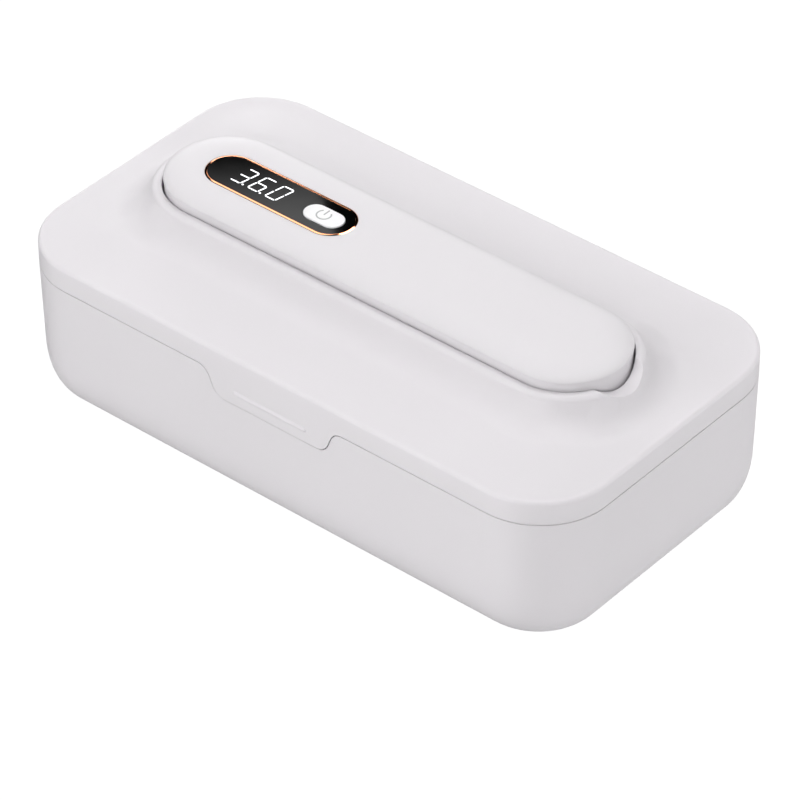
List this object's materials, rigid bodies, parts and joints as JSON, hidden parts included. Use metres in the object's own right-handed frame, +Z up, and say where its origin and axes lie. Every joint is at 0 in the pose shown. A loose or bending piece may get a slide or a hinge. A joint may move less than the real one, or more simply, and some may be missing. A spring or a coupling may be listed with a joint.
{
  "type": "uv sanitizer box",
  "caption": "White rounded box with a hinged, front-tabbed lid; a detachable ultraviolet wand with a display and a power button docks in a raised collar on the lid.",
  "frame": {"origin": "under the centre of the whole closed box, on the table", "axes": "+X along the box's length with the display at -X, -Y towards the front with the lid tab, +Z up"},
  "size_m": [0.225, 0.1256, 0.0723],
  "materials": {
    "shell_white": "satin moulded, fine mould texture",
    "inner_white": "matte moulded",
    "wand_white": "satin moulded",
    "liner_silver": "vacuum-metallised, satin reflective",
    "foot_rubber": "matte, slightly dusty",
    "screw_steel": "zinc-plated",
    "pin_steel": "ground",
    "rose_gold": "polished rose-gold plating",
    "display_black": "polished, smoked",
    "module_grey": "matte",
    "component_black": "matte",
    "board_green": "solder mask",
    "socket_steel": "nickel-plated",
    "cell_foil": "laminated foil",
    "quartz_clear": "polished quartz",
    "reflector_mirror": "polished",
    "led_board_white": "white solder mask",
    "led_ceramic": "ceramic package",
    "button_white": "satin"
  },
  "bodies": {
    "base": {"base_shell": "shell_white", "base_liner": "liner_silver", "rubber_feet": "foot_rubber", "base_screws": "screw_steel", "hinge_pins": "pin_steel"},
    "lid": {"lid_shell": "shell_white", "lid_inner_cover": "inner_white", "lid_screws": "screw_steel"},
    "wand": {"wand_body": "wand_white", "wand_cover": "wand_white", "display_ring": "rose_gold", "display_window": "display_black", "display_module": "module_grey", "button_switch": "component_black", "main_board": "board_green", "board_chips": "component_black", "usb_socket": "socket_steel", "battery": "cell_foil", "lamp_window": "quartz_clear", "reflector": "reflector_mirror", "led_board": "led_board_white", "uv_leds": "led_ceramic", "wand_screws": "screw_steel"},
    "button": {"power_button": "button_white"}
  },
  "joints": [
    {"name": "lid_hinge", "type": "hinge", "parent": "base", "child": "lid", "pos_m": [0, 0.06017, 0.0487], "axis": [-1, 0, 0], "range_deg": [0, 100]},
    {"name": "wand_lift", "type": "slide", "parent": "lid", "child": "wand", "axis": [0, 0, 1], "range_m": [0, 0.06]},
    {"name": "power_press", "type": "slide", "parent": "wand", "child": "button", "axis": [0, 0, -1], "range_m": [0, 0.0006], "stiffness_N_per_m": 600, "springref_m": -0.0005}
  ]
}
